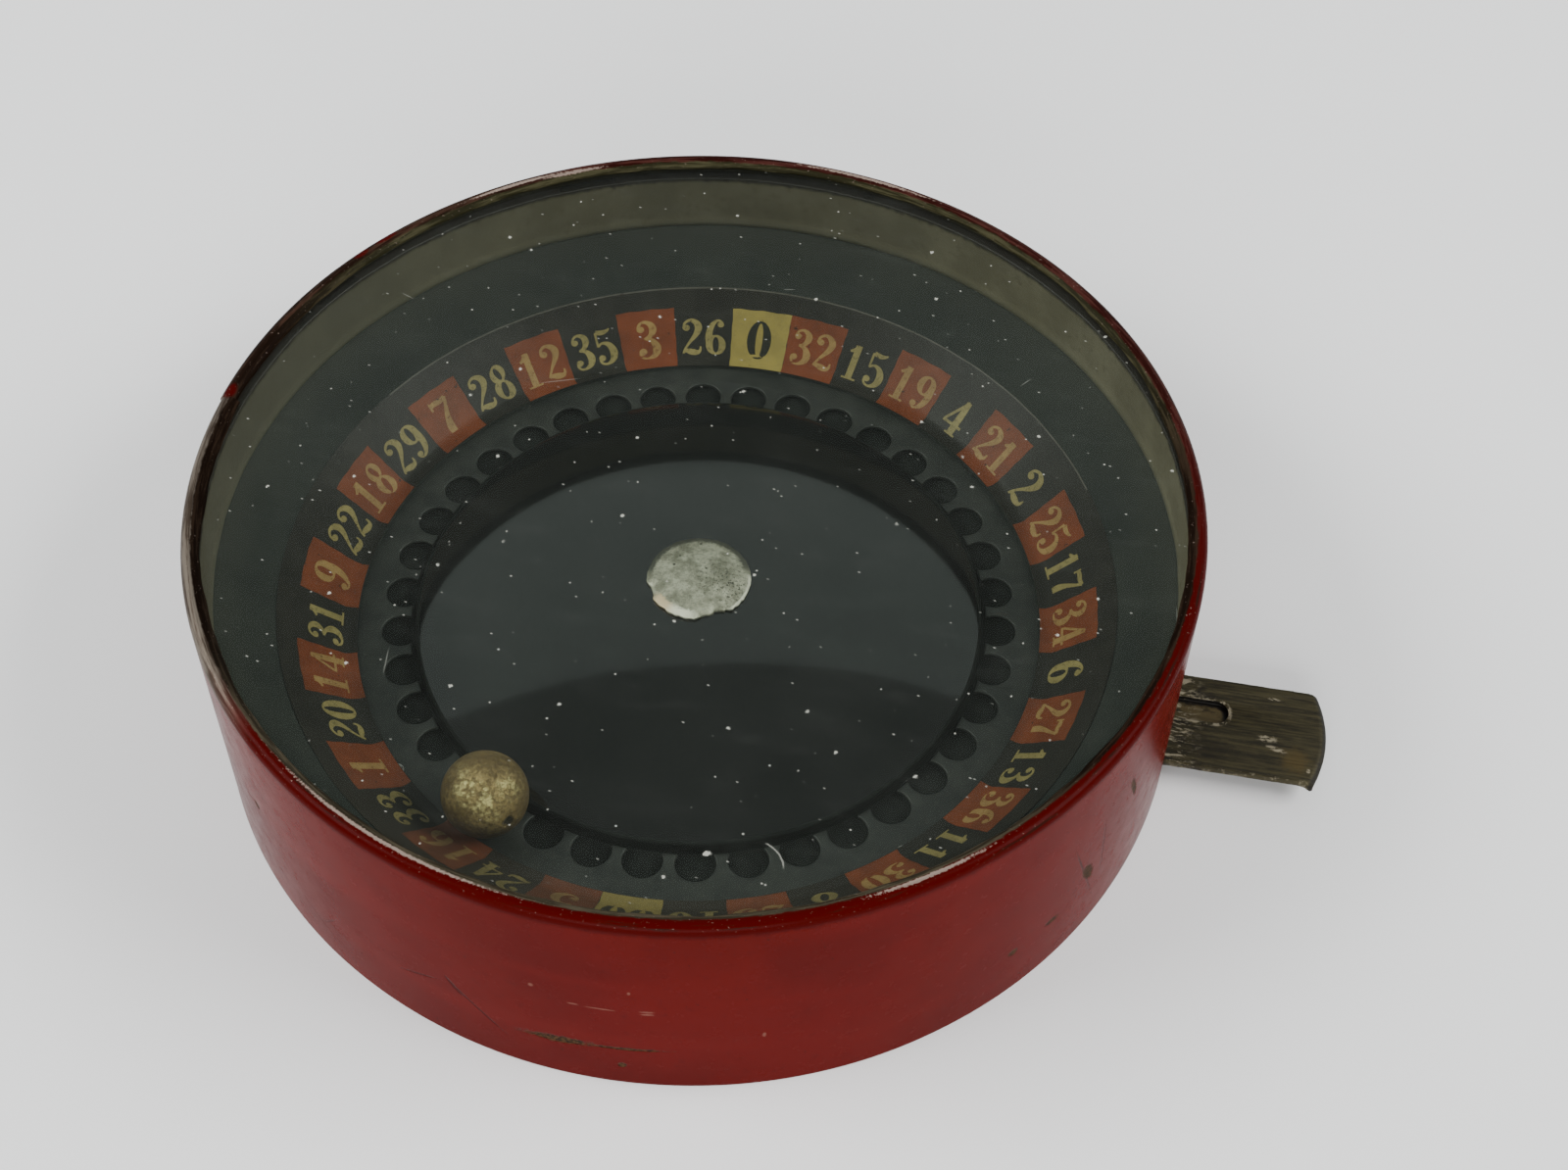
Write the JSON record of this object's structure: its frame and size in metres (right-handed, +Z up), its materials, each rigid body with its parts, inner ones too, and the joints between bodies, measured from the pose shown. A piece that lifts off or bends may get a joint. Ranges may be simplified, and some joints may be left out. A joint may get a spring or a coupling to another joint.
{
  "type": "pocket roulette wheel",
  "caption": "Round tin pocket roulette with a glass top, a sloping numbered dish, a toothed pocket ring, a domed rotor with a silver hub, a loose brass ball and a sprung push tab.",
  "frame": {"origin": "centre of the underside of the base, on the rotor's axis", "axes": "+Z up along the rotor axis, +X towards the push tab"},
  "size_m": [0.0928, 0.08, 0.0225],
  "materials": {
    "lacquered_tin": "glossy red lacquer over tin, worn to bare metal along the rim",
    "plain_tin": "dull tinplate with age",
    "pane": "clear, dusty, finely scratched",
    "olive_card": "matt olive card",
    "dish_paint": "blue-black enamel, dusty",
    "number_print": "printed paper, aged varnish",
    "pocket_tin": "grey-green tin, dull",
    "hoop_card": "plain brown card",
    "steel": "plain steel",
    "tab_steel": "brown patinated strip steel, worn",
    "brass": "plain brass",
    "ball_brass": "dull patinated brass",
    "rotor_black": "glossy black enamel",
    "cap_nickel": "dull nickel plate, flaked at the edge"
  },
  "bodies": {
    "case": {"case_band": "lacquered_tin", "base_pan": "plain_tin", "glass_pane": "pane", "spacer_hoop": "olive_card", "number_dish": "dish_paint", "number_band": "number_print", "pocket_ring": "pocket_tin", "support_hoop": "hoop_card", "ring_pillars": "steel", "centre_post": "steel", "thrust_washer": "brass", "retaining_clip": "steel", "guide_saddles": "steel", "guide_straps": "steel", "strap_rivets": "brass", "stop_stud": "steel", "spring_post": "steel", "return_spring": "steel"},
    "pusher": {"push_strip": "tab_steel", "spring_stud": "steel"},
    "driver": {"drive_pinion": "brass", "driver_plate": "steel", "pawl_pin": "brass", "pawl_spring": "brass"},
    "pawl": {"pawl": "steel"},
    "rotor": {"rotor_dome": "rotor_black", "rotor_flange": "steel", "hub_tube": "brass", "ratchet_wheel": "steel", "hub_cap": "cap_nickel"},
    "ball": {"ball": "ball_brass"}
  },
  "joints": [
    {"name": "push_slide", "type": "slide", "parent": "case", "child": "pusher", "axis": [1, 0, 0], "range_m": [-0.00838, 0], "stiffness_N_per_m": 120, "springref_m": 0.005},
    {"name": "driver_spin", "type": "hinge", "parent": "case", "child": "driver", "pos_m": [0, 0, 0.002], "axis": [0, 0, 1], "range_deg": [-150.5, 0.5]},
    {"name": "pawl_swing", "type": "hinge", "parent": "driver", "child": "pawl", "pos_m": [0.00396, 0.00396, 0.004], "axis": [0, 0, 1], "range_deg": [-14, 0]},
    {"name": "rotor_spin", "type": "hinge", "parent": "case", "child": "rotor", "pos_m": [0, 0, 0.006], "axis": [0, 0, 1], "continuous": true},
    {"name": "ball_run", "type": "hinge", "parent": "case", "child": "ball", "pos_m": [0, 0, 0.01], "axis": [0, 0, 1], "continuous": true}
  ],
  "couplings": [
    {"joint": "driver_spin", "follows": "push_slide", "rad_per_m": 312.5}
  ]
}
